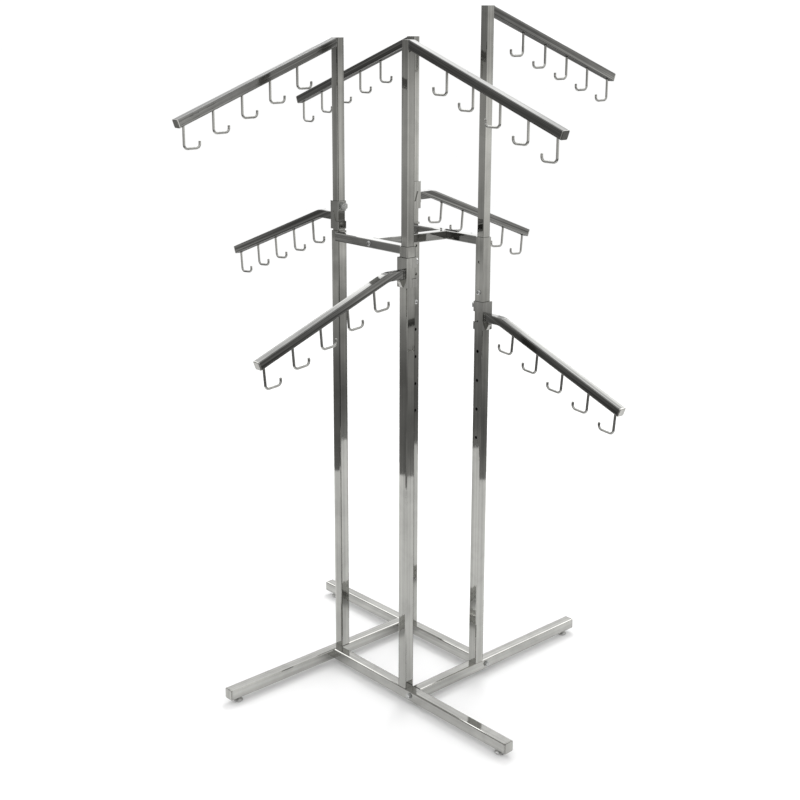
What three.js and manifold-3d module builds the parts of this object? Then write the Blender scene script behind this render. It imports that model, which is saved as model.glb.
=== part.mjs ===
// Four way clothing rack with slanted hook arms.
//
// Units are millimetres, +Z is up. The origin is the centre of the base at
// floor level. +X and +Y run along the base legs.
//
// Four square legs form a pinwheel: each leg's inner end butts the side of the
// next one. A square post stands on each leg, one leg width from the joint. A
// thinner square tube telescopes out of each post and carries a slanted arm at
// its top; a second slanted arm hangs on a saddle that slides on the post or on
// the thinner tube. Each arm has five wire hooks that open towards the post.
import * as THREE from 'three';
import { mergeVertices } from 'three/addons/utils/BufferGeometryUtils.js';
import Module from 'manifold-3d';

const wasm = await Module();
wasm.setup();

// ---------------------------------------------------------------- dimensions
const GAP = 0.3;              // clearance left between touching pieces

const POST_W = 28;            // outer post and leg, square section
const POST_WALL = 1.9;
const POST_R = 3;             // outside corner radius
const TUBE_W = 23;            // telescoping tube, square section
const TUBE_WALL = 1.8;
const TUBE_R = 2.5;
const ARM_W = 21;             // arm, square section
const ARM_WALL = 1.6;
const ARM_R = 2.3;

const HALF_X = 158;           // leg axes of the legs that run along Y
const HALF_Y = 129;           // leg axes of the legs that run along X
const POST_IN = 28;           // post axis, from the leg joint inwards
const REACH_X = 495;          // outer end of the legs that run along X
const REACH_Y = 485;          // outer end of the legs that run along Y
const LEG_Z0 = 14;            // underside of the legs
const LEG_Z1 = LEG_Z0 + POST_W;

const POST_TOP = 1196;        // top of the outer posts
const HOLE_R = 4.2;           // height holes in the posts
const HOLE_PITCH = 76.2;
const HOLE_TOP = 1133.2;
const HOLE_COUNT = 7;

const TUBE_TOP = 1675;        // top of three of the telescoping tubes
const TUBE_STEP = 76.2;       // the fourth stands one hole higher
const LOCK_Z = 980.8;         // lock screw of the three lower tubes
const TUBE_BELOW_LOCK = 60;

const TOP_SLOPE = 20.4;       // degrees below horizontal
const TOP_REACH = 477;        // arm end, horizontally from the post axis
const TOP_HOOK_1 = 127;       // first hook, horizontally from the post axis
const LOW_SLOPE = 21.2;
const LOW_BEND = 68;          // start of the slope, from the post axis
const LOW_REACH = 449;
const LOW_HOOK_1 = 107;
const LOW_BEND_R = 55;
const TOP_PITCH = 88;         // hook to hook along the arm
const LOW_PITCH = 86.9;
const HOOKS = 5;

const WIRE_R = 3;
const HOOK_DROP = 57;         // underside of the arm to the hook's lowest point
const HOOK_W = 43;            // shank axis to tip axis
const HOOK_TIP = 19;          // height of the tip
const HOOK_BEND_R = 10;
const HOOK_LEAN = 5;          // lower hooks lean towards the post, degrees

const BAR_W = 22;             // bars that tie the posts together
const BAR_WALL = 1.6;
const BAR_Z = 1183;

const SADDLE_T = 2.4;           // saddle strap thickness
const SADDLE_PLATE = 4;       // saddle plate behind the arm
const SADDLE_UP = 40;         // saddle above the arm's axis
const SADDLE_DOWN = 32;
const SADDLE_STRAP_UP = 26;   // heights of the two straps
const SADDLE_STRAP_DOWN = 20;

const FOOT_R = 12;
const FOOT_H = 9;
const STUD_R = 4;
const FOOT_IN = 30;           // foot centre from the leg's end

// Each station is one post: where it stands, the heading of its top arm, and
// the heights of its telescoping tube and lower arm.
const PX = HALF_X - POST_IN, PY = HALF_Y - POST_IN;
const stations = [
  { id: 'front', x: PX, y: -HALF_Y, head: 0, up: 0, low: 1130, onTube: false },
  { id: 'right', x: HALF_X, y: PY, head: 90, up: 1, low: 993, onTube: false },
  { id: 'back', x: -PX, y: HALF_Y, head: 180, up: 0, low: 1264, onTube: true },
  { id: 'left', x: -HALF_X, y: -PY, head: 270, up: 0, low: 1232, onTube: true },
];

// ----------------------------------------------------------------- materials
const mat = (color, roughness, metalness) =>
  new THREE.MeshStandardMaterial({ color, roughness, metalness });
const chrome = () => mat(0xc4c7c8, 0.12, 1.0);
const chromeDark = () => mat(0xaeb1b2, 0.16, 1.0);
const zinc = () => mat(0xb9babb, 0.32, 0.9);
const nylon = () => mat(0xa9aaa8, 0.5, 0.0);

// ------------------------------------------------------------------- helpers
const rad = (d) => (d * Math.PI) / 180;

function signedVolume(g) {
  const p = g.attributes.position, ix = g.index;
  const A = new THREE.Vector3(), B = new THREE.Vector3(), C = new THREE.Vector3();
  let v = 0;
  for (let i = 0; i < ix.count; i += 3) {
    A.fromBufferAttribute(p, ix.getX(i));
    B.fromBufferAttribute(p, ix.getX(i + 1));
    C.fromBufferAttribute(p, ix.getX(i + 2));
    v += A.dot(B.cross(C)) / 6;
  }
  return v;
}

function toSolid(geometry) {
  let g = geometry.clone();
  g.deleteAttribute('normal');
  g.deleteAttribute('uv');
  g = mergeVertices(g, 1e-4);
  const tri = Uint32Array.from(g.index.array);
  if (signedVolume(g) < 0) {
    for (let i = 0; i < tri.length; i += 3) {
      const t = tri[i]; tri[i] = tri[i + 1]; tri[i + 1] = t;
    }
  }
  return new wasm.Manifold(new wasm.Mesh({
    numProp: 3,
    vertProperties: Float32Array.from(g.attributes.position.array),
    triVerts: tri,
  }));
}

function toGeometry(solid) {
  const m = solid.getMesh();
  const n = m.numProp, count = m.vertProperties.length / n;
  const pos = new Float32Array(count * 3);
  for (let i = 0; i < count; i++) {
    for (let k = 0; k < 3; k++) pos[3 * i + k] = m.vertProperties[n * i + k];
  }
  const g = new THREE.BufferGeometry();
  g.setAttribute('position', new THREE.BufferAttribute(pos, 3));
  g.setIndex(new THREE.BufferAttribute(Uint32Array.from(m.triVerts), 1));
  g.computeVertexNormals();
  return g;
}

function piece(name, solid, material) {
  const mesh = new THREE.Mesh(toGeometry(solid), material);
  mesh.name = name;
  return mesh;
}

const join = (list) => list.reduce((a, s) => a.add(s));
const cut = (solid, list) => list.reduce((a, s) => a.subtract(s), solid);

// axis-aligned box between two corners
function box(x0, x1, y0, y1, z0, z1) {
  const g = new THREE.BoxGeometry(x1 - x0, y1 - y0, z1 - z0);
  g.translate((x0 + x1) / 2, (y0 + y1) / 2, (z0 + z1) / 2);
  return toSolid(g);
}

// cylinder along +Z between two heights
function rod(r, z0, z1, sides = 16, x = 0, y = 0) {
  const g = new THREE.CylinderGeometry(r, r, z1 - z0, sides);
  g.rotateX(Math.PI / 2);
  g.translate(x, y, (z0 + z1) / 2);
  return toSolid(g);
}

// cylinder along +X between two x values at height z
function rodX(r, x0, x1, z, sides = 16, y = 0) {
  const g = new THREE.CylinderGeometry(r, r, x1 - x0, sides);
  g.rotateZ(-Math.PI / 2);
  g.translate((x0 + x1) / 2, y, z);
  return toSolid(g);
}

// points of a square with rounded corners, counter-clockwise
function roundedSquare(w, r, seg) {
  const h = w / 2, pts = [];
  for (let c = 0; c < 4; c++) {
    const a0 = (c * Math.PI) / 2;
    const sx = [1, -1, -1, 1][c], sy = [1, 1, -1, -1][c];
    const cx = sx * (h - r), cy = sy * (h - r);
    for (let i = 0; i <= seg; i++) {
      const a = a0 + (i / seg) * (Math.PI / 2);
      pts.push(new THREE.Vector2(cx + r * Math.cos(a), cy + r * Math.sin(a)));
    }
  }
  return pts;
}

function sectionShape(w, wall, r, seg = 2) {
  const shape = new THREE.Shape(roundedSquare(w, r, seg));
  if (wall > 0) {
    const h = w / 2 - wall;
    shape.holes.push(new THREE.Path([
      new THREE.Vector2(-h, -h), new THREE.Vector2(-h, h),
      new THREE.Vector2(h, h), new THREE.Vector2(h, -h),
    ]));
  }
  return shape;
}

// straight square tube along +Z
function tubeZ(w, wall, r, z0, z1, seg = 2) {
  const g = new THREE.ExtrudeGeometry(sectionShape(w, wall, r, seg), {
    depth: z1 - z0, bevelEnabled: false, curveSegments: 1,
  });
  g.translate(0, 0, z0);
  return toSolid(g);
}

// straight square tube along +X
function tubeX(w, wall, r, x0, x1, seg = 2) {
  const g = new THREE.ExtrudeGeometry(sectionShape(w, wall, r, seg), {
    depth: x1 - x0, bevelEnabled: false, curveSegments: 1,
  });
  g.rotateY(Math.PI / 2);
  g.translate(x0, 0, 0);
  return toSolid(g);
}

// A path in the XZ plane through given stations, with the section kept upright
// in that plane.
class PlanarPath extends THREE.Curve {
  constructor(points) {
    super();
    this.stations = points.map(([x, z]) => new THREE.Vector3(x, 0, z));
  }
  getPoint(t, target = new THREE.Vector3()) {
    const f = t * (this.stations.length - 1);
    const i = Math.min(Math.floor(f), this.stations.length - 2);
    return target.lerpVectors(this.stations[i], this.stations[i + 1], f - i);
  }
  getSpacedPoints() {
    return this.stations.map((p) => p.clone());
  }
  computeFrenetFrames() {
    const s = this.stations, tangents = [], normals = [], binormals = [];
    for (let i = 0; i < s.length; i++) {
      const t = new THREE.Vector3();
      if (i > 0) t.add(s[i].clone().sub(s[i - 1]).normalize());
      if (i < s.length - 1) t.add(s[i + 1].clone().sub(s[i]).normalize());
      t.normalize();
      const n = new THREE.Vector3(0, 1, 0);
      tangents.push(t);
      normals.push(n);
      binormals.push(new THREE.Vector3().crossVectors(t, n));
    }
    return { tangents, normals, binormals };
  }
}

function sweep(points, shape) {
  return toSolid(new THREE.ExtrudeGeometry(shape, {
    steps: points.length - 1, extrudePath: new PlanarPath(points),
    curveSegments: 1, bevelEnabled: false,
  }));
}

// stations of a polyline with rounded corners
function filleted(corners, radius, seg) {
  const out = [corners[0]];
  for (let i = 1; i < corners.length - 1; i++) {
    const p = new THREE.Vector2(...corners[i]);
    const a = new THREE.Vector2(...corners[i - 1]).sub(p).normalize();
    const b = new THREE.Vector2(...corners[i + 1]).sub(p).normalize();
    const half = Math.acos(THREE.MathUtils.clamp(a.dot(b), -1, 1)) / 2;
    const c = p.clone().add(a.clone().add(b).normalize().multiplyScalar(radius / Math.sin(half)));
    const t0 = p.clone().add(a.clone().multiplyScalar(radius / Math.tan(half))).sub(c);
    const t1 = p.clone().add(b.clone().multiplyScalar(radius / Math.tan(half))).sub(c);
    let a0 = Math.atan2(t0.y, t0.x), a1 = Math.atan2(t1.y, t1.x);
    if (a1 - a0 > Math.PI) a1 -= 2 * Math.PI;
    if (a0 - a1 > Math.PI) a1 += 2 * Math.PI;
    for (let k = 0; k <= seg; k++) {
      const ang = a0 + (a1 - a0) * (k / seg);
      out.push([c.x + radius * Math.cos(ang), c.y + radius * Math.sin(ang)]);
    }
  }
  out.push(corners[corners.length - 1]);
  return out;
}

function wireShape(sides) {
  const pts = [];
  for (let i = 0; i < sides; i++) {
    const a = ((i + 0.5) / sides) * 2 * Math.PI;
    pts.push(new THREE.Vector2(WIRE_R * Math.cos(a), WIRE_R * Math.sin(a)));
  }
  return new THREE.Shape(pts);
}

// One hook in the XZ plane: the shank leaves the arm's underside at (x, z) and
// the hook opens towards -X, where the post is.
function hook(x, z, lean) {
  const l = rad(lean);
  const turn = ([u, v]) => [
    x + u * Math.cos(l) + v * Math.sin(l),
    z - u * Math.sin(l) + v * Math.cos(l),
  ];
  const drop = HOOK_DROP - WIRE_R;
  const corners = [
    [0, 1.4], [0, -drop], [-HOOK_W, -drop], [-HOOK_W, -drop + HOOK_TIP - WIRE_R],
  ].map(turn);
  return sweep(filleted(corners, HOOK_BEND_R, 3), wireShape(6));
}

// Cap for a tube's open end, along +X: the tube ends at x = 0.
function endCap(w, wall, r, plate, depth) {
  const inner = w - 2 * wall - 2 * GAP;
  const outer = tubeX(w, 0, r, GAP, plate, 2);
  const rim = tubeX(w - 2, 0, r, plate - 0.2, plate + 0.8, 2);
  const plug = box(-depth, GAP + 0.5, -inner / 2, inner / 2, -inner / 2, inner / 2);
  const hollow = box(-depth - 1, -1.5, -inner / 2 + 2, inner / 2 - 2, -inner / 2 + 2, inner / 2 - 2);
  return join([outer, rim, plug]).subtract(hollow);
}

// Hexagon-headed screw along +X: the head's underside is at x = 0, its shank
// runs to x = length.
function hexScrew(head, headH, washer, shankR, length) {
  const hex = rodX(head / 2 / Math.cos(Math.PI / 6), -headH, -1.2, 0, 6);
  const disc = rodX(washer / 2, -1.4, 0, 0, 20);
  const shank = rodX(shankR, -0.5, length, 0, 12);
  return join([hex, disc, shank]);
}

// Round-headed screw along +X with a cross slot.
function panScrew(headR, headH, shankR, length) {
  const prof = [[0, -headH], [headR * 0.5, -headH * 0.94], [headR * 0.86, -headH * 0.6], [headR, 0], [0, 0]]
    .map(([a, b]) => new THREE.Vector2(a, b));
  const g = new THREE.LatheGeometry(prof, 20);
  g.rotateZ(-Math.PI / 2);
  const head = toSolid(g);
  const slot = join([
    box(-headH - 1, -headH * 0.5, -headR * 0.55, headR * 0.55, -0.7, 0.7),
    box(-headH - 1, -headH * 0.5, -0.7, 0.7, -headR * 0.55, headR * 0.55),
  ]);
  return head.subtract(slot).add(rodX(shankR, -0.4, length, 0, 12));
}

// ------------------------------------------------------------------ assembly
const rack = new THREE.Group();

function placed(mesh, x, y, z, headingDeg) {
  const g = new THREE.Group();
  g.position.set(x, y, z);
  g.rotation.z = rad(headingDeg);
  g.add(mesh);
  rack.add(g);
  return mesh;
}

// Base legs. Local +X runs from the inner end to the outer end.
const legZ = LEG_Z0 + POST_W / 2;
const H = POST_W / 2;
const legs = [
  // the front leg's inner end butts the left leg, and so on round the base
  { id: 'front', x: 0, y: -HALF_Y, head: 0, from: -HALF_X + H + GAP, to: REACH_X, next: HALF_X },
  { id: 'right', x: HALF_X, y: 0, head: 90, from: -HALF_Y + H + GAP, to: REACH_Y, next: HALF_Y },
  { id: 'back', x: 0, y: HALF_Y, head: 180, from: -HALF_X + H + GAP, to: REACH_X, next: HALF_X },
  { id: 'left', x: -HALF_X, y: 0, head: 270, from: -HALF_Y + H + GAP, to: REACH_Y, next: HALF_Y },
];
const CAP_PLATE = 3;
const CAP_RIM = 0.8;
const BASE_BOLT_R = 4;
for (const leg of legs) {
  const end = leg.to - CAP_PLATE - CAP_RIM;
  let s = tubeX(POST_W, POST_WALL, POST_R, leg.from, end, 2);
  // end plate of the inner end, which the joint bolt screws into
  const pl = POST_W / 2 - POST_WALL + 0.4;
  s = s.add(box(leg.from, leg.from + 5, -pl, pl, -pl, pl));
  s = s.subtract(rodX(BASE_BOLT_R + GAP, leg.from - 1, leg.from + 6, 0, 12));
  // hole across the leg for the bolt that holds the next leg's inner end
  const across = rodX(BASE_BOLT_R + GAP, -POST_W, POST_W, 0, 12).rotate([0, 0, 90]).translate([leg.next, 0, 0]);
  s = s.subtract(across);
  // hole in the underside for the levelling foot
  s = s.subtract(rod(STUD_R + GAP, -POST_W, -2, 12, leg.to - FOOT_IN, 0));
  placed(piece(`leg_${leg.id}`, s, chrome()), leg.x, leg.y, legZ, leg.head);

  const cap = endCap(POST_W, POST_WALL, POST_R, CAP_PLATE, 14).translate([end, 0, 0]);
  placed(piece(`leg_cap_${leg.id}`, cap, chromeDark()), leg.x, leg.y, legZ, leg.head);

  // levelling foot, turned about its own axis
  const foot = new THREE.LatheGeometry([
    [0, 0], [FOOT_R - 1.5, 0], [FOOT_R, 1.5], [FOOT_R, 5], [FOOT_R - 5, FOOT_H], [STUD_R, FOOT_H],
    [STUD_R, 35], [0, 35],
  ].map(([r, z]) => new THREE.Vector2(r, z)), 24);
  foot.rotateX(Math.PI / 2);
  placed(piece(`levelling_foot_${leg.id}`, toSolid(foot).translate([leg.to - FOOT_IN, 0, 0]), zinc()),
    leg.x, leg.y, 0, leg.head);

  // bolt through this leg into the end plate of the leg that butts it, with
  // its head on this leg's outer side
  const bolt = hexScrew(12, 5.5, 16, BASE_BOLT_R, POST_W + 16).rotate([0, 0, 90])
    .translate([leg.next, -H - GAP, 0]);
  placed(piece(`base_bolt_${leg.id}`, bolt, zinc()), leg.x, leg.y, legZ, leg.head);
}

// Posts, telescoping tubes, arms and saddles.
const T = TUBE_W / 2;
const A = ARM_W / 2;
const topSlope = rad(TOP_SLOPE), lowSlope = rad(LOW_SLOPE);

function topArm() {
  // axis height at the post axis, with the arm's upper face meeting the tube's top
  const z0 = -A / Math.cos(topSlope) + T * Math.tan(topSlope);
  const at = (s) => z0 - s * Math.tan(topSlope);
  const end = TOP_REACH - (CAP_PLATE + CAP_RIM) * Math.cos(topSlope);
  let s = sweep([[-20, at(-20)], [end, at(end)]], sectionShape(ARM_W, ARM_WALL, ARM_R, 2));
  s = s.subtract(box(-60, T + GAP, -60, 60, -100, 100));
  const hooks = [];
  for (let i = 0; i < HOOKS; i++) {
    const u = TOP_HOOK_1 + i * TOP_PITCH * Math.cos(topSlope);
    hooks.push(hook(u, at(u) - A / Math.cos(topSlope), 0));
  }
  return { solid: join([s, ...hooks]), end: [end, at(end)], slope: TOP_SLOPE };
}

function lowerArm(from) {
  const at = (s) => -(s - LOW_BEND) * Math.tan(lowSlope);
  const end = LOW_REACH - (CAP_PLATE + CAP_RIM) * Math.cos(lowSlope);
  const path = filleted([[from, 0], [LOW_BEND, 0], [end, at(end)]], LOW_BEND_R, 5);
  const tube = sweep(path, sectionShape(ARM_W, ARM_WALL, ARM_R, 2));
  const hooks = [];
  for (let i = 0; i < HOOKS; i++) {
    const u = LOW_HOOK_1 + i * LOW_PITCH * Math.cos(lowSlope);
    hooks.push(hook(u, at(u) - A / Math.cos(lowSlope), HOOK_LEAN));
  }
  return { solid: join([tube, ...hooks]), end: [end, at(end)], slope: LOW_SLOPE };
}

// Saddle around a square tube of width w. Local +X points along the arm and
// z = 0 is the arm's axis.
function saddle(w) {
  const i = w / 2 + GAP, o = i + SADDLE_T, p = i + SADDLE_PLATE;
  const zu0 = SADDLE_UP - SADDLE_STRAP_UP, zd1 = -SADDLE_DOWN + SADDLE_STRAP_DOWN;
  const body = box(-o, p, -o, o, -SADDLE_DOWN, SADDLE_UP);
  const bore = box(-i, i, -i, i, -100, 100);
  // between the straps only the plate and two slanted cheeks remain
  const side = new THREE.Shape([
    new THREE.Vector2(-60, zd1), new THREE.Vector2(i - 13, zd1),
    new THREE.Vector2(i - 5, zu0), new THREE.Vector2(-60, zu0),
  ]);
  const g = new THREE.ExtrudeGeometry(side, { depth: 120, bevelEnabled: false });
  g.rotateX(Math.PI / 2);
  g.translate(0, 60, 0);
  const window = toSolid(g);
  // chamfers on the upper and lower outer corners of the straps
  const ch = 2.5;
  const bevel = (sy) => {
    const b = new THREE.BoxGeometry(ch * Math.SQRT2, ch * Math.SQRT2, 200);
    b.rotateZ(Math.PI / 4);
    b.translate(-o, sy * o, 0);
    return toSolid(b);
  };
  const screw = rodX(3 + GAP, -o - 5, -i + 1, SADDLE_UP - SADDLE_STRAP_UP / 2, 12);
  // gusset under the arm
  const gus = new THREE.ExtrudeGeometry(new THREE.Shape([
    new THREE.Vector2(p - 0.5, -A - 2), new THREE.Vector2(p - 0.5, -SADDLE_DOWN + 1),
    new THREE.Vector2(p + 2, -SADDLE_DOWN + 1), new THREE.Vector2(p + 10, -A - 6), new THREE.Vector2(p + 10, -A - 2),
  ]), { depth: 10, bevelEnabled: false });
  gus.rotateX(Math.PI / 2);
  gus.translate(0, 5, 0);
  // round boss behind the lower strap
  const boss = join([
    rodX(7.5, -o - 4, -o + 0.8, -SADDLE_DOWN + SADDLE_STRAP_DOWN / 2, 16),
    rodX(5.5, -o - 5.5, -o - 3.5, -SADDLE_DOWN + SADDLE_STRAP_DOWN / 2, 16),
  ]);
  return cut(body, [bore, window, bevel(1), bevel(-1), screw]).add(toSolid(gus)).add(boss);
}

for (const st of stations) {
  const tubeTop = TUBE_TOP + st.up * TUBE_STEP;
  const lockZ = LOCK_Z + st.up * TUBE_STEP;

  // post: height holes on the side away from its top arm
  let post = tubeZ(POST_W, POST_WALL, POST_R, LEG_Z1 + GAP, POST_TOP, 2);
  const drills = [];
  for (let k = 0; k < HOLE_COUNT; k++) {
    drills.push(rodX(HOLE_R, -POST_W, -H + POST_WALL + 1, HOLE_TOP - k * HOLE_PITCH, 12));
  }
  post = cut(post, drills);
  placed(piece(`post_${st.id}`, post, chrome()), st.x, st.y, 0, st.head);

  // telescoping tube, closed at the top
  const z0 = lockZ - TUBE_BELOW_LOCK;
  let tube = tubeZ(TUBE_W, 0, TUBE_R, z0, tubeTop, 2);
  const bore = T - TUBE_WALL;
  tube = tube.subtract(box(-bore, bore, -bore, bore, z0 - 5, tubeTop - 2));
  placed(piece(`tube_${st.id}`, tube, chrome()), st.x, st.y, 0, st.head);

  // lock screw in the post's hole, its tip against the tube
  const lock = panScrew(7, 4, 3.6, H - T - GAP + 1.2);
  placed(piece(`lock_screw_${st.id}`, lock.translate([-H - GAP, 0, lockZ])
    .subtract(box(-T - GAP, 40, -40, 40, lockZ - 40, lockZ + 40)), zinc()), st.x, st.y, 0, st.head);

  // top arm
  const ta = topArm();
  placed(piece(`top_arm_${st.id}`, ta.solid, chrome()), st.x, st.y, tubeTop, st.head);
  const tcap = endCap(ARM_W, ARM_WALL, ARM_R, CAP_PLATE, 7)
    .rotate([0, ta.slope, 0]).translate([ta.end[0], 0, ta.end[1]]);
  placed(piece(`top_arm_cap_${st.id}`, tcap, chromeDark()), st.x, st.y, tubeTop, st.head);

  // saddle and lower arm, a quarter turn to the right of the top arm
  const w = st.onTube ? TUBE_W : POST_W;
  const lowHead = st.head - 90;
  placed(piece(`saddle_${st.id}`, saddle(w), chromeDark()), st.x, st.y, st.low, lowHead);
  const la = lowerArm(w / 2 + 2 * GAP + SADDLE_PLATE);
  placed(piece(`lower_arm_${st.id}`, la.solid, chrome()), st.x, st.y, st.low, lowHead);
  const lcap = endCap(ARM_W, ARM_WALL, ARM_R, CAP_PLATE, 7)
    .rotate([0, la.slope, 0]).translate([la.end[0], 0, la.end[1]]);
  placed(piece(`lower_arm_cap_${st.id}`, lcap, chromeDark()), st.x, st.y, st.low, lowHead);

  // clamp screw at the back of the saddle's upper strap
  const back = w / 2 + GAP + SADDLE_T;
  const clamp = hexScrew(17, 10, 20, 3, SADDLE_T + GAP)
    .translate([-back - GAP, 0, SADDLE_UP - SADDLE_STRAP_UP / 2]);
  placed(piece(`clamp_screw_${st.id}`, clamp, zinc()), st.x, st.y, st.low, lowHead);
}

// Bars that tie the posts together: two side bars along X, each between the
// facing sides of two posts, and a crossbar between the side bars' middles.
const SIDE_Y = (HALF_Y + PY) / 2;               // side bar axis
const MID_X = (HALF_X - PX) / 2;                // middle of a side bar
const barH = BAR_W / 2;
for (const side of [1, -1]) {
  // local frame turned half a circle for the second side bar
  let bar = tubeX(BAR_W, BAR_WALL, 2, -HALF_X + H + GAP, PX - H - GAP, 2);
  const drill = rodX(3.3, -60, 60, 0, 12).rotate([0, 0, 90]).translate([-MID_X, 0, 0]);
  bar = bar.subtract(drill).translate([0, -SIDE_Y, 0]);
  placed(piece(`side_bar_${side > 0 ? 'left' : 'right'}`, bar, chrome()), 0, 0, BAR_Z, side > 0 ? 0 : 180);
}
{
  const reach = SIDE_Y - barH - GAP;            // crossbar ends lie on the side bars
  const tilt = (Math.atan2(MID_X, SIDE_Y) * 180) / Math.PI;
  let bar = tubeX(BAR_W, BAR_WALL, 2, -reach - 20, reach + 20, 2).rotate([0, 0, 90 - tilt]);
  bar = bar.intersect(box(-200, 200, -reach, reach, -60, 60));
  for (const sy of [1, -1]) {
    // end plate with the screw hole
    const c = (sy * MID_X * (reach - 2.5)) / SIDE_Y, p = barH - BAR_WALL + 0.4;
    const y0 = sy > 0 ? reach - 5 : -reach;
    bar = bar.add(box(c - p, c + p, y0, y0 + 5, -p, p));
    bar = bar.subtract(rodX(3.3, -30, 30, 0, 12).rotate([0, 0, 90]).translate([sy * MID_X, sy * reach, 0]));
  }
  placed(piece('crossbar', bar, chrome()), 0, 0, BAR_Z, 0);
}
for (const side of [1, -1]) {
  const screw = panScrew(7, 3.5, 3, BAR_W + 8).rotate([0, 0, 90])
    .translate([-MID_X, -SIDE_Y - barH - GAP, 0]);
  placed(piece(`crossbar_screw_${side > 0 ? 'left' : 'right'}`, screw, zinc()), 0, 0, BAR_Z, side > 0 ? 0 : 180);
}

export default rack;
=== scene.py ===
import math

import bmesh
import bpy
from mathutils import Matrix, Vector


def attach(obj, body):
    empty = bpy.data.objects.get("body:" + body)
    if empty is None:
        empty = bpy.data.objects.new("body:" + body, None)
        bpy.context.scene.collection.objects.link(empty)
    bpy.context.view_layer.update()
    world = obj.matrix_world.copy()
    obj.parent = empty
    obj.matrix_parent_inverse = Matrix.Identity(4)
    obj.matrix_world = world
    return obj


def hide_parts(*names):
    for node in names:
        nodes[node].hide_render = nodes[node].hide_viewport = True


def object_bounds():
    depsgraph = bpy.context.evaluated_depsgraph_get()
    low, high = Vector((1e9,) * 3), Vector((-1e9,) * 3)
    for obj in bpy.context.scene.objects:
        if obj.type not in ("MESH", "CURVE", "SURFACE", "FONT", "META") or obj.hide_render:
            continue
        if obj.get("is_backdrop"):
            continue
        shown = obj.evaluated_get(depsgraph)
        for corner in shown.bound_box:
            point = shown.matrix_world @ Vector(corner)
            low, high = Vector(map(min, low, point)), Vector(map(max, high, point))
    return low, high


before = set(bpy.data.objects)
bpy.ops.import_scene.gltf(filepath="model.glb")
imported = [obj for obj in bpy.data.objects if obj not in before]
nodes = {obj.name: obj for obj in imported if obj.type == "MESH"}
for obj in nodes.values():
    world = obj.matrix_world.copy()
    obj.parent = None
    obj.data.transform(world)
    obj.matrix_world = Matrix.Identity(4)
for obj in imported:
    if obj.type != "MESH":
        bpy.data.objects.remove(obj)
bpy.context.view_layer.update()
scene = bpy.context.scene

# ------------------------------------------------------------------ camera
cam_data = bpy.data.cameras.new("camera")
cam_data.sensor_width = 36.0
cam_data.sensor_fit = "HORIZONTAL"
cam_data.lens = 58.71
cam_data.shift_x = 0.0188
cam_data.shift_y = -0.0806
cam_data.clip_start = 0.05
cam_data.clip_end = 200.0
cam = bpy.data.objects.new("camera", cam_data)
cam.location = (2.3768, -2.2074, 1.7467)
cam.rotation_euler = (math.radians(75.878), 0, math.radians(48.237))
scene.collection.objects.link(cam)
scene.camera = cam

# -------------------------------------------------------------- dimensions
POST_W, TUBE_W, TUBE_R = 28.0, 23.0, 2.5
GAP = 0.3
HALF_X, HALF_Y, POST_IN = 158.0, 129.0, 28.0
PX, PY = HALF_X - POST_IN, HALF_Y - POST_IN
TUBE_TOP, TUBE_STEP = 1675.0, 76.2
TOP_SLOPE, TOP_REACH, TOP_HOOK, TOP_PITCH = 20.4, 477.0, 127.0, 88.0
LOW_SLOPE, LOW_REACH, LOW_HOOK, LOW_PITCH = 21.2, 449.0, 107.0, 86.9
LOW_BEND, LOW_BEND_R = 68.0, 55.0
ARM_W, ARM_R = 21.0, 2.3
WIRE_R, HOOK_DROP, HOOK_W, HOOK_TIP, HOOK_R, HOOK_LEAN = 3.0, 57.0, 43.0, 19.0, 10.0, 5.0
CAP = 3.8
STATIONS = [
    ("front", PX, -HALF_Y, 0, 0, 1130.0, POST_W),
    ("right", HALF_X, PY, 90, 1, 993.0, POST_W),
    ("back", -PX, HALF_Y, 180, 0, 1264.0, TUBE_W),
    ("left", -HALF_X, -PY, 270, 0, 1232.0, TUBE_W),
]


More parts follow.
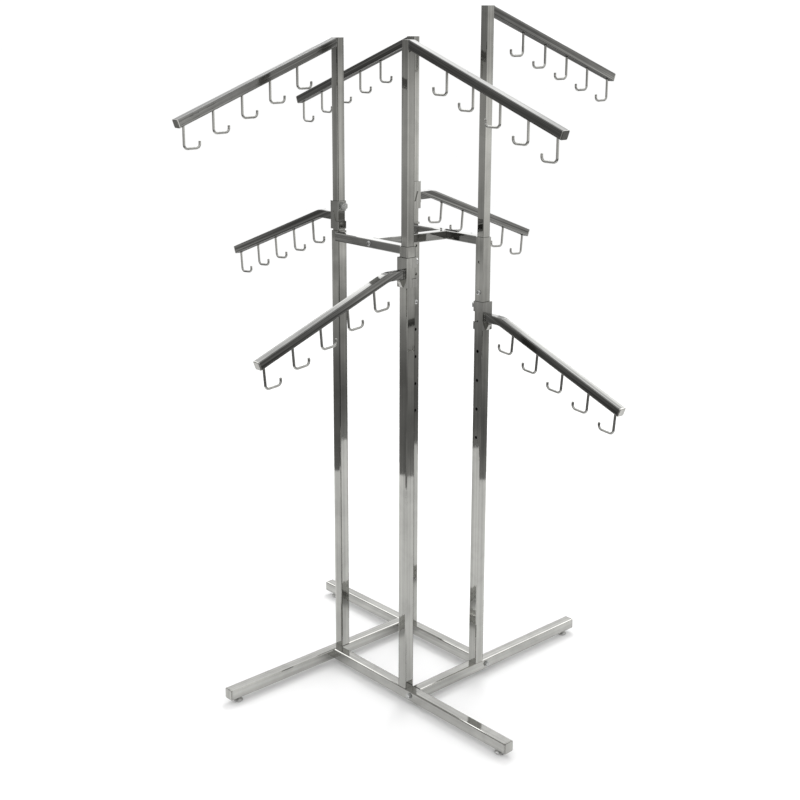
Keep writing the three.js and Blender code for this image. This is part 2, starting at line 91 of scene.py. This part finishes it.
# --------------------------------------------------------------- materials
class Nodes:
    """A node tree with short calls for what the finishes share."""

    def __init__(self, name):
        self.mat = bpy.data.materials.new(name)
        self.mat.use_nodes = True
        self.tree = self.mat.node_tree
        self.tree.nodes.clear()

    def add(self, kind, **props):
        n = self.tree.nodes.new(kind)
        for k, v in props.items():
            setattr(n, k, v)
        return n

    def wire(self, a, b):
        self.tree.links.new(a, b)

    def coords(self, scale, turn=None):
        """Object coordinates, turned by a rotation first and then scaled."""
        tc = self.add("ShaderNodeTexCoord")
        out = tc.outputs["Object"]
        if turn is not None:
            mp = self.add("ShaderNodeMapping")
            mp.inputs["Rotation"].default_value = turn.to_euler("XYZ")
            self.wire(out, mp.inputs["Vector"])
            out = mp.outputs["Vector"]
        mp = self.add("ShaderNodeMapping")
        mp.inputs["Scale"].default_value = scale
        self.wire(out, mp.inputs["Vector"])
        return mp.outputs["Vector"]

    def noise(self, vec, scale, detail=3.0, rough=0.5, distort=0.0):
        n = self.add("ShaderNodeTexNoise")
        n.inputs["Scale"].default_value = scale
        n.inputs["Detail"].default_value = detail
        n.inputs["Roughness"].default_value = rough
        n.inputs["Distortion"].default_value = distort
        self.wire(vec, n.inputs["Vector"])
        return n.outputs["Fac"]

    def ramp(self, fac, a, b, lo, hi):
        """fac from a to b is mapped to lo to hi, and clamped."""
        m = self.add("ShaderNodeMapRange")
        m.interpolation_type = "SMOOTHSTEP"
        m.inputs["From Min"].default_value = a
        m.inputs["From Max"].default_value = b
        m.inputs["To Min"].default_value = lo
        m.inputs["To Max"].default_value = hi
        self.wire(fac, m.inputs["Value"])
        return m.outputs["Result"]

    def math(self, op, a, b):
        m = self.add("ShaderNodeMath", operation=op)
        for i, v in enumerate((a, b)):
            if isinstance(v, (int, float)):
                m.inputs[i].default_value = v
            else:
                self.wire(v, m.inputs[i])
        return m.outputs["Value"]

    def mix(self, fac, a, b):
        m = self.add("ShaderNodeMix", data_type="RGBA")
        self.wire(fac, m.inputs[0])
        for i, v in ((6, a), (7, b)):
            if isinstance(v, tuple):
                m.inputs[i].default_value = (*v, 1)
            else:
                self.wire(v, m.inputs[i])
        return m.outputs[2]

    def edges(self, radius):
        """1 on sharp edges, 0 on flats."""
        bv = self.add("ShaderNodeBevel")
        bv.samples = 4
        bv.inputs["Radius"].default_value = radius
        geo = self.add("ShaderNodeNewGeometry")
        dot = self.add("ShaderNodeVectorMath", operation="DOT_PRODUCT")
        self.wire(bv.outputs["Normal"], dot.inputs[0])
        self.wire(geo.outputs["Normal"], dot.inputs[1])
        return self.ramp(dot.outputs["Value"], 0.995, 0.90, 0.0, 1.0)

    def bump(self, height, strength, distance, normal=None):
        b = self.add("ShaderNodeBump")
        b.inputs["Strength"].default_value = strength
        b.inputs["Distance"].default_value = distance
        self.wire(height, b.inputs["Height"])
        if normal is not None:
            self.wire(normal, b.inputs["Normal"])
        return b.outputs["Normal"]

    def finish(self, color, rough, normal, metallic=1.0, spec=0.5):
        p = self.add("ShaderNodeBsdfPrincipled")
        p.inputs["Metallic"].default_value = metallic
        p.inputs["Specular IOR Level"].default_value = spec
        for sock, v in (("Base Color", color), ("Roughness", rough), ("Normal", normal)):
            if isinstance(v, tuple):
                p.inputs[sock].default_value = (*v, 1)
            elif isinstance(v, (int, float)):
                p.inputs[sock].default_value = v
            else:
                self.wire(v, p.inputs[sock])
        out = self.add("ShaderNodeOutputMaterial")
        self.wire(p.outputs["BSDF"], out.inputs["Surface"])
        return self.mat


def chrome(name, along, base, rough, wave=0.35, line_tint_and_painted_reflection=0.12, draw=0.12, turn=None):
    """Polished chrome on drawn tube: lines along the tube, slow waviness, handling smudges and rubbed edges. The
    lighter and darker streaks along the tube in the colour are partly drawing lines and partly painted reflection.
    """
    n = Nodes(name)
    scale = [260.0, 260.0, 260.0]
    scale["xyz".index(along)] = 1.6
    lines = n.noise(n.coords(tuple(scale), turn), 1.0, 2.0, 0.55)
    broad = [118.0, 118.0, 118.0]
    broad["xyz".index(along)] = 1.1
    drawn_lines_and_painted_streaks = n.noise(n.coords(tuple(broad), turn), 1.0, 2.5, 0.6)
    slow = [14.0, 14.0, 14.0]
    slow["xyz".index(along)] = 3.2
    waves = n.noise(n.coords(tuple(slow), turn), 1.0, 1.5, 0.4)
    plain = n.coords((1, 1, 1))
    smudge = n.noise(plain, 9.0, 5.0, 0.62, 0.8)
    print_ = n.noise(plain, 46.0, 3.0, 0.55, 1.6)
    dust = n.noise(plain, 420.0, 2.0, 0.6)
    edge = n.edges(0.0012)

    smear = n.math("MULTIPLY", n.ramp(smudge, 0.50, 0.72, 0, 1), n.ramp(print_, 0.42, 0.62, 0.25, 1))
    r = n.math("ADD", rough, n.math("MULTIPLY", smear, 0.055))
    r = n.math("ADD", r, n.math("MULTIPLY", n.ramp(lines, 0.35, 0.7, 0, 1), 0.018))
    r = n.math("ADD", r, n.math("MULTIPLY", edge, 0.08))
    light = tuple(min(1.0, c * 1.06) for c in base)
    dark = tuple(c * 0.88 for c in base)
    col = n.mix(n.ramp(smudge, 0.35, 0.7, 0, 1), light, dark)
    # painted reflection: lighter and darker streaks along the tube, partly drawing lines, partly reflection streaks
    # painted into the colour
    col = n.mix(n.math("MULTIPLY", n.ramp(drawn_lines_and_painted_streaks, 0.50, 0.62, 0, 1), line_tint_and_painted_reflection), col, tuple(min(1.0, c * 2.1) for c in base))
    col = n.mix(n.math("MULTIPLY", n.ramp(drawn_lines_and_painted_streaks, 0.48, 0.38, 0, 1), line_tint_and_painted_reflection), col, tuple(c * 0.30 for c in base))
    col = n.mix(n.math("MULTIPLY", edge, 0.35), col, tuple(c * 0.72 for c in base))
    col = n.mix(n.math("MULTIPLY", n.ramp(dust, 0.66, 0.78, 0, 1), 0.25), col, tuple(c * 0.8 for c in base))
    nrm = n.bump(waves, wave, 0.0011)
    nrm = n.bump(drawn_lines_and_painted_streaks, draw, 0.0006, nrm)
    nrm = n.bump(lines, 0.05, 0.00012, nrm)
    return n.finish(col, r, nrm)


def down(heading, slope):
    """The rotation that lays +X along an arm that points to a heading and slopes down."""
    h, s = math.radians(heading), math.radians(slope)
    return Matrix((
        (math.cos(h) * math.cos(s), math.sin(h) * math.cos(s), -math.sin(s)),
        (-math.sin(h), math.cos(h), 0.0),
        (math.cos(h) * math.sin(s), math.sin(h) * math.sin(s), math.cos(s)),
    ))


def zinc(name, base, rough):
    """Bright zinc: mottled crystals, fine grain and scuffs."""
    n = Nodes(name)
    vec = n.coords((1, 1, 1))
    vor = n.add("ShaderNodeTexVoronoi", feature="F1")
    vor.inputs["Scale"].default_value = 210.0
    n.wire(vec, vor.inputs["Vector"])
    grain = n.noise(vec, 900.0, 2.0, 0.6)
    patch = n.noise(vec, 60.0, 4.0, 0.6, 0.6)
    edge = n.edges(0.0010)
    col = n.mix(n.ramp(patch, 0.35, 0.7, 0, 1), base, tuple(c * 0.72 for c in base))
    col = n.mix(n.math("MULTIPLY", edge, 0.5), col, tuple(min(1, c * 1.25) for c in base))
    r = n.math("ADD", rough, n.math("MULTIPLY", n.ramp(patch, 0.4, 0.7, 0, 1), 0.14))
    r = n.math("ADD", r, n.math("MULTIPLY", n.ramp(vor.outputs["Distance"], 0.1, 0.6, 0, 1), 0.06))
    nrm = n.bump(grain, 0.10, 0.0001)
    return n.finish(col, r, nrm)


CHROME = (0.372, 0.371, 0.352)
# painted light: the legs take a lighter copy of the same chrome as the posts
LEG_CHROME_PAINTED_LIGHT = (0.415, 0.414, 0.396)
# painted shade: the arms take a much darker copy of the same chrome as the posts
ARM_CHROME_PAINTED_SHADE = (0.160, 0.160, 0.155)
# painted shade: the side and cross bars take a darker copy of the same chrome
BAR_CHROME_PAINTED_SHADE = (0.245, 0.245, 0.236)
HOOK_CHROME = (0.37, 0.369, 0.352)
mats = {
    "x": chrome("chrome_x", "x", LEG_CHROME_PAINTED_LIGHT, 0.035, wave=0.5),
    "y": chrome("chrome_y", "y", LEG_CHROME_PAINTED_LIGHT, 0.035, wave=0.5),
    "z": chrome("chrome_z", "z", CHROME, 0.035),
    "hook": chrome("chrome_hook", "z", HOOK_CHROME, 0.06),
    "bar_x": chrome("chrome_bar_x", "x", BAR_CHROME_PAINTED_SHADE, 0.04),
    "bar_y": chrome("chrome_bar_y", "y", BAR_CHROME_PAINTED_SHADE, 0.04),
    "saddle": chrome("chrome_saddle", "z", (0.355, 0.354, 0.338), 0.07, wave=0.5),
    "cap": chrome("chrome_cap", "z", (0.38, 0.378, 0.36), 0.08, wave=0.5),
    "zinc": zinc("zinc_screws", (0.50, 0.505, 0.50), 0.20),
    "foot": zinc("zinc_feet", (0.55, 0.55, 0.54), 0.26),
}
for heading in (0, 90, 180, 270):
    mats[f"arm_{heading}"] = chrome(f"chrome_arm_{heading}", "x", ARM_CHROME_PAINTED_SHADE, 0.045, line_tint_and_painted_reflection=0.55, draw=0.55, turn=down(heading, 20.8))


def paint(obj, mat):
    if not obj.material_slots:
        obj.data.materials.append(None)
    for s in obj.material_slots:
        s.link = "OBJECT"
        s.material = mat


# --------------------------------------------------- shading of the CAD nodes
def soften(obj, width, angle=50.0, segments=2):
    """Small rounded edges and flat-looking flats, without moving anything."""
    b = obj.modifiers.new("edge", "BEVEL")
    b.width = width
    b.segments = segments
    b.limit_method = "ANGLE"
    b.angle_limit = math.radians(angle)
    b.harden_normals = False
    w = obj.modifiers.new("flats", "WEIGHTED_NORMAL")
    w.keep_sharp = True
    w.weight = 90


def smooth(obj, angle=50.0):
    me = obj.data
    me.shade_smooth()
    me.set_sharp_from_angle(angle=math.radians(angle))


HEAD = {"front": "x", "back": "x", "right": "y", "left": "y"}
TURN = {"x": "y", "y": "x"}
for name, obj in nodes.items():
    kind, _, where = name.rpartition("_")
    if kind in ("leg",):
        paint(obj, mats[HEAD[where]])
    elif kind in ("post", "tube"):
        paint(obj, mats["z"])
    elif kind == "side_bar":
        paint(obj, mats["bar_x"])
    elif name == "crossbar":
        paint(obj, mats["bar_y"])
    elif kind in ("leg_cap", "top_arm_cap", "lower_arm_cap"):
        paint(obj, mats["cap"])
    elif kind == "saddle":
        paint(obj, mats["saddle"])
    elif kind == "levelling_foot":
        paint(obj, mats["foot"])
    elif kind in ("base_bolt", "lock_screw", "clamp_screw", "crossbar_screw"):
        paint(obj, mats["zinc"])


# -------------------------------------------------------------- mesh pieces
class Build:
    """Vertices and faces in millimetres, in a station's own frame."""

    def __init__(self):
        self.bm = bmesh.new()
        self.index = 0

    def sweep(self, path, section, cap0=True, cap1=True):
        """path: (x, z, scale) stations in the XZ plane. section: (u, v) points; u runs along +Y, v is up."""
        rings = []
        n = len(path)
        for i, (x, z, s) in enumerate(path):
            a = path[max(0, i - 1)]
            b = path[min(n - 1, i + 1)]
            if i == 0:
                d = Vector((b[0] - x, b[1] - z))
            elif i == n - 1:
                d = Vector((x - a[0], z - a[1]))
            else:
                d0 = Vector((x - a[0], z - a[1])).normalized()
                d1 = Vector((b[0] - x, b[1] - z)).normalized()
                d = d0 + d1
            if d.length < 1e-9:
                d = Vector((1, 0))
            d.normalize()
            up = Vector((-d.y, d.x))
            rings.append([self.bm.verts.new((x + up.x * v * s, u * s, z + up.y * v * s)) for u, v in section])
        m = len(section)
        for r0, r1 in zip(rings, rings[1:]):
            for k in range(m):
                self.bm.faces.new((r0[k], r0[(k + 1) % m], r1[(k + 1) % m], r1[k])).material_index = self.index
        if cap0:
            self.bm.faces.new(list(reversed(rings[0]))).material_index = self.index
        if cap1:
            self.bm.faces.new(rings[-1]).material_index = self.index

    def bead(self, centre, size, seed):
        """A small uneven weld bead."""
        v0 = len(self.bm.verts)
        bmesh.ops.create_icosphere(self.bm, subdivisions=2, radius=1.0)
        self.bm.verts.ensure_lookup_table()
        for v in self.bm.verts[v0:]:
            c = v.co
            w = 1 + 0.12 * math.sin(5.1 * c.x + seed) * math.cos(4.3 * c.y - seed * 0.7) + 0.06 * math.sin(9 * c.z + 2 * seed)
            v.co = Vector((centre[0] + c.x * size[0] * w, centre[1] + c.y * size[1] * w, centre[2] + c.z * size[2] * w))

    def object(self, name, place, angle=40.0, width=0.0):
        bmesh.ops.recalc_face_normals(self.bm, faces=self.bm.faces)
        me = bpy.data.meshes.new(name)
        self.bm.transform(Matrix.Scale(0.001, 4) @ place)
        self.bm.to_mesh(me)
        self.bm.free()
        obj = bpy.data.objects.new(name, me)
        scene.collection.objects.link(obj)
        smooth(obj, angle)
        if width:
            soften(obj, width)
        else:
            w = obj.modifiers.new("flats", "WEIGHTED_NORMAL")
            w.keep_sharp = True
        return obj


def rounded_square(w, r, seg):
    h = w / 2
    pts = []
    for c in range(4):
        sx, sy = ((1, 1), (-1, 1), (-1, -1), (1, -1))[c]
        for i in range(seg + 1):
            a = math.pi / 2 * (c + i / seg)
            pts.append((sx * (h - r) + r * math.cos(a), sy * (h - r) + r * math.sin(a)))
    return pts


def circle(r, n):
    return [(r * math.cos(2 * math.pi * i / n), r * math.sin(2 * math.pi * i / n)) for i in range(n)]


def fillet(corners, radius, seg):
    out = [corners[0]]
    for i in range(1, len(corners) - 1):
        p = Vector(corners[i])
        a = (Vector(corners[i - 1]) - p).normalized()
        b = (Vector(corners[i + 1]) - p).normalized()
        half = math.acos(max(-1, min(1, a.dot(b)))) / 2
        c = p + (a + b).normalized() * (radius / math.sin(half))
        t0 = p + a * (radius / math.tan(half)) - c
        t1 = p + b * (radius / math.tan(half)) - c
        a0, a1 = math.atan2(t0.y, t0.x), math.atan2(t1.y, t1.x)
        if a1 - a0 > math.pi:
            a1 -= 2 * math.pi
        if a0 - a1 > math.pi:
            a1 += 2 * math.pi
        for k in range(seg + 1):
            t = a0 + (a1 - a0) * k / seg
            out.append((c.x + radius * math.cos(t), c.y + radius * math.sin(t)))
    out.append(corners[-1])
    return out


WIRE = circle(WIRE_R, 14)


def add_hook(b, x, z, lean, seed):
    l = math.radians(lean)
    drop = HOOK_DROP - WIRE_R
    corners = [(0, 1.2), (0, -drop), (-HOOK_W, -drop), (-HOOK_W, -drop + HOOK_TIP - WIRE_R - 0.9)]
    pts = [(x + u * math.cos(l) + v * math.sin(l), z - u * math.sin(l) + v * math.cos(l)) for u, v in fillet(corners, HOOK_R, 8)]
    path = [(px, pz, 1.0) for px, pz in pts]
    # domed tip
    (x0, z0), (x1, z1) = pts[-2], pts[-1]
    d = Vector((x1 - x0, z1 - z0)).normalized()
    for t in (0.45, 0.75, 0.93):
        path.append((x1 + d.x * WIRE_R * 0.55 * t, z1 + d.y * WIRE_R * 0.55 * t, math.sqrt(max(0.0, 1 - t * t))))
    b.index = 1
    b.sweep(path, WIRE)
    b.index = 0
    b.bead((x, 0, z - 0.4), (4.3, 4.1, 1.6), seed)


TUBE = rounded_square(ARM_W, ARM_R, 5)
T, A = TUBE_W / 2, ARM_W / 2
for (sid, sx, sy, head, up, low, width) in STATIONS:
    top = TUBE_TOP + up * TUBE_STEP
    sl = math.radians(TOP_SLOPE)
    z0 = -A / math.cos(sl) + T * math.tan(sl)
    end = TOP_REACH - CAP * math.cos(sl)
    b = Build()
    # the arm's own end is cut upright where it meets the tube
    ring = []
    start = T + GAP
    b.sweep([(start + 6, z0 - (start + 6) * math.tan(sl), 1.0), (end, z0 - end * math.tan(sl), 1.0)], TUBE, cap0=False)
    b.bm.verts.ensure_lookup_table()
    first = [v for v in b.bm.verts][: len(TUBE)]
    for v in first:
        # slide each corner of the first ring along the arm to the upright cut
        dx = start - v.co.x
        v.co.z -= dx * math.tan(sl)
        v.co.x = start
    b.bm.faces.new(list(reversed(first)))
    for i in range(5):
        u = TOP_HOOK + i * TOP_PITCH * math.cos(sl)
        add_hook(b, u, z0 - u * math.tan(sl) - A / math.cos(sl), 0, i + head)
    # weld along both sides and the underside of the joint
    zb = z0 - start * math.tan(sl) - A / math.cos(sl)
    zt = zb + ARM_W / math.cos(sl)
    for k in range(9):
        f = k / 8
        for side in (-1, 1):
            b.bead((start + 0.1, side * (A - 0.3), zb + 2 + (zt - zb - 4) * f), (1.9, 0.9, 2.0), k + side * 3)
        b.bead((start + 0.3, -A + 2 + (ARM_W - 4) * f, zb - 0.1), (2.3, 2.0, 1.2), 2 * k)
    place = Matrix.Translation((sx, sy, top)) @ Matrix.Rotation(math.radians(head), 4, "Z")
    arm = b.object(f"upper_arm_{sid}", place)
    arm.data.materials.append(mats[f"arm_{head}"])
    arm.data.materials.append(mats["hook"])
    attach(arm, f"top_{sid}")
    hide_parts(f"top_arm_{sid}")

    sl = math.radians(LOW_SLOPE)
    end = LOW_REACH - CAP * math.cos(sl)
    start = width / 2 + 2 * GAP + 4
    b = Build()
    path = fillet([(start, 0), (LOW_BEND, 0), (end, -(end - LOW_BEND) * math.tan(sl))], LOW_BEND_R, 10)
    b.sweep([(x, z, 1.0) for x, z in path], TUBE)
    for i in range(5):
        u = LOW_HOOK + i * LOW_PITCH * math.cos(sl)
        add_hook(b, u, -(u - LOW_BEND) * math.tan(sl) - A / math.cos(sl), HOOK_LEAN, i + head + 2)
    for k in range(9):
        f = -A + 2 + (ARM_W - 4) * k / 8
        for side in (-1, 1):
            b.bead((start + 0.2, side * (A - 0.2), f), (1.9, 1.0, 2.0), k + side)
            b.bead((start + 0.2, f, side * (A - 0.2)), (1.9, 2.0, 1.0), k - side)
    place = Matrix.Translation((sx, sy, low)) @ Matrix.Rotation(math.radians(head - 90), 4, "Z")
    arm = b.object(f"bent_arm_{sid}", place)
    arm.data.materials.append(mats[f"arm_{(head - 90) % 360}"])
    arm.data.materials.append(mats["hook"])
    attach(arm, f"lower_{sid}")
    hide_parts(f"lower_arm_{sid}")

for name, obj in nodes.items():
    if name.startswith(("top_arm_", "lower_arm_")) and "_cap_" not in name:
        continue
    smooth(obj, 50.0)
    soften(obj, 0.0004 if name.startswith(("post", "tube", "leg_", "side", "cross")) else 0.0003)


# ------------------------------------------------------------ floor and light
def stage_mesh(name, verts, faces, mat, camera=True):
    me = bpy.data.meshes.new(name)
    me.from_pydata(verts, [], faces)
    me.materials.append(mat)
    o = bpy.data.objects.new(name, me)
    scene.collection.objects.link(o)
    if not camera:
        o.visible_camera = False
        o.visible_diffuse = False
        o.visible_shadow = False
        o.visible_transmission = False
        o.visible_volume_scatter = False
    o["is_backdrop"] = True
    return o


def disc(r0, r1, z, n=96):
    verts = [(r * math.cos(2 * math.pi * i / n), r * math.sin(2 * math.pi * i / n), z) for r in (r0, r1) for i in range(n)]
    return verts, [(i, n + i, n + (i + 1) % n, (i + 1) % n) for i in range(n)]


floor_mat = bpy.data.materials.new("floor")
floor_mat.use_nodes = True
fp = floor_mat.node_tree.nodes["Principled BSDF"]
fp.inputs["Base Color"].default_value = (0.90, 0.90, 0.90, 1)
fp.inputs["Roughness"].default_value = 0.9
fp.inputs["Specular IOR Level"].default_value = 0.0
n = 96
verts = [(60 * math.cos(2 * math.pi * i / n), 60 * math.sin(2 * math.pi * i / n), 0) for i in range(n)]
stage_mesh("floor", verts, [tuple(range(n))], floor_mat)


def glow(name, build):
    mat = bpy.data.materials.new(name)
    mat.use_nodes = True
    t = mat.node_tree
    t.nodes.clear()
    em = t.nodes.new("ShaderNodeEmission")
    out = t.nodes.new("ShaderNodeOutputMaterial")
    t.links.new(em.outputs[0], out.inputs[0])
    build(t, em)
    return mat


# What the chrome mirrors away from the floor under it: a darker room that gets
# lighter in the distance, brighter to one side, with soft upright bands. It is
# seen only in reflections.
def room(t, em, even, lean):
    def node(kind, **props):
        n = t.nodes.new(kind)
        for k, v in props.items():
            setattr(n, k, v)
        return n

    def calc(op, a, b=None):
        m = node("ShaderNodeMath", operation=op)
        for i, v in enumerate((a, b)):
            if v is None:
                continue
            if isinstance(v, (int, float)):
                m.inputs[i].default_value = v
            else:
                t.links.new(v, m.inputs[i])
        return m.outputs[0]

    def curve(value, top, stops):
        m = node("ShaderNodeMapRange")
        m.inputs["From Max"].default_value = top
        t.links.new(value, m.inputs["Value"])
        cr = node("ShaderNodeValToRGB")
        e = cr.color_ramp.elements
        for k, (pos, val) in enumerate(stops):
            el = e[k] if k < 2 else e.new(pos / top)
            el.position = pos / top
            el.color = (val, val, val, 1)
        t.links.new(m.outputs["Result"], cr.inputs["Fac"])
        return cr.outputs["Color"]

    tc = node("ShaderNodeTexCoord")
    sep = node("ShaderNodeSeparateXYZ")
    t.links.new(tc.outputs["Object"], sep.inputs[0])
    x, y, z = sep.outputs
    rad = calc("SQRT", calc("ADD", calc("MULTIPLY", x, x), calc("MULTIPLY", y, y)))
    # brightness by distance over the floor, and by height on the wall
    near = curve(rad, 8.0, [(0.0, 0.26), (8.0, 0.68), (1.7, 0.26), (2.0, 0.25), (2.45, 0.205), (3.3, 0.25), (4.1, 0.38), (5.3, 0.60)])
    high = curve(z, 3.0, [(0.0, 1.0), (3.0, 0.9), (0.3, 1.4), (0.5, 1.5), (0.85, 1.6), (1.16, 1.4), (1.41, 0.85), (1.9, 0.9), (2.4, 0.5)])
    # one side is brighter
    side = calc("DIVIDE", calc("ADD", calc("MULTIPLY", x, 0.69), calc("MULTIPLY", y, 0.72)), rad)
    bright = calc("ADD", even, calc("MULTIPLY", side, lean))
    # upright bands
    mp = node("ShaderNodeMapping")
    mp.inputs["Scale"].default_value = (0.8, 0.8, 0.05)
    t.links.new(tc.outputs["Object"], mp.inputs["Vector"])
    no = node("ShaderNodeTexNoise")
    no.inputs["Scale"].default_value = 1.0
    no.inputs["Detail"].default_value = 2.5
    t.links.new(mp.outputs["Vector"], no.inputs["Vector"])
    bands = node("ShaderNodeMapRange")
    bands.inputs["From Min"].default_value = 0.35
    bands.inputs["From Max"].default_value = 0.65
    bands.inputs["To Min"].default_value = 0.65
    bands.inputs["To Max"].default_value = 1.3
    t.links.new(no.outputs["Fac"], bands.inputs["Value"])
    v = calc("MULTIPLY", calc("MULTIPLY", near, high), calc("MULTIPLY", bright, bands.outputs["Result"]))
    t.links.new(v, em.inputs["Strength"])
    em.inputs["Color"].default_value = (1.0, 0.995, 0.98, 1)


v, f = disc(1.70, 7.0, 0.002)
stage_mesh("room_floor", v, f, glow("room_floor", lambda t, em: room(t, em, 1.12, 0.12)), camera=False)
n = 96
v = [(7.0 * math.cos(2 * math.pi * i / n), 7.0 * math.sin(2 * math.pi * i / n), z) for z in (0.0, 2.9) for i in range(n)]
f = [(i, (i + 1) % n, n + (i + 1) % n, n + i) for i in range(n)]
stage_mesh("room_wall", v, f, glow("room_wall", lambda t, em: room(t, em, 0.86, 0.30)), camera=False)

# a white backdrop behind, and a bright panel above it that the arms' tops mirror
def panel(a0, a1, z0, z1, r, n=24):
    v = [(r * math.cos(math.radians(a0 + (a1 - a0) * i / n)), r * math.sin(math.radians(a0 + (a1 - a0) * i / n)), z) for z in (z0, z1) for i in range(n + 1)]
    return v, [(i, i + 1, n + 2 + i, n + 1 + i) for i in range(n)]


def panel_light(low, high, grain):
    def build(t, em):
        tc = t.nodes.new("ShaderNodeTexCoord")
        mp = t.nodes.new("ShaderNodeMapping")
        mp.inputs["Scale"].default_value = grain
        no = t.nodes.new("ShaderNodeTexNoise")
        no.inputs["Scale"].default_value = 1.0
        no.inputs["Detail"].default_value = 3.0
        mr = t.nodes.new("ShaderNodeMapRange")
        mr.inputs["From Min"].default_value = 0.35
        mr.inputs["From Max"].default_value = 0.65
        mr.inputs["To Min"].default_value = low
        mr.inputs["To Max"].default_value = high
        t.links.new(tc.outputs["Object"], mp.inputs["Vector"])
        t.links.new(mp.outputs["Vector"], no.inputs["Vector"])
        t.links.new(no.outputs["Fac"], mr.inputs["Value"])
        t.links.new(mr.outputs["Result"], em.inputs["Strength"])

    return build


v, f = panel(105, 165, 1.9, 2.8, 6.6)
stage_mesh("backdrop_glow", v, f, glow("backdrop_glow", panel_light(1.5, 2.1, (0.35, 0.35, 0.12))), camera=False)
v, f = panel(95, 200, 2.8, 5.0, 6.6)
stage_mesh("middle_panel", v, f, glow("middle_panel", panel_light(1.08, 1.38, (0.5, 0.5, 0.4))), camera=False)
v, f = panel(95, 200, 5.0, 9.5, 6.6)
stage_mesh("top_panel", v, f, glow("top_panel", panel_light(1.9, 3.9, (0.8, 0.8, 0.5))), camera=False)

world = bpy.data.worlds.new("studio")
world.use_nodes = True
bg = world.node_tree.nodes["Background"]
bg.inputs["Color"].default_value = (1, 1, 1, 1)
bg.inputs["Strength"].default_value = 1.12
scene.world = world
scene.view_settings.view_transform = "Standard"
scene.view_settings.look = "None"


def area(name, loc, target, size, power, size_y=None):
    """A soft light that lights but isn't mirrored."""
    d = bpy.data.lights.new(name, "AREA")
    d.energy = power
    d.shape = "RECTANGLE"
    d.size = size
    d.size_y = size_y or size
    o = bpy.data.objects.new(name, d)
    o.location = loc
    o.rotation_euler = (Vector(target) - Vector(loc)).to_track_quat("-Z", "Y").to_euler()
    scene.collection.objects.link(o)
    o.visible_glossy = False
    return o


area("key", (-1.2, 1.6, 3.6), (0, 0, 0.2), 1.3, 40)
area("fill", (3.2, 1.6, 3.6), (0, 0, 0.8), 2.0, 3)

low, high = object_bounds()
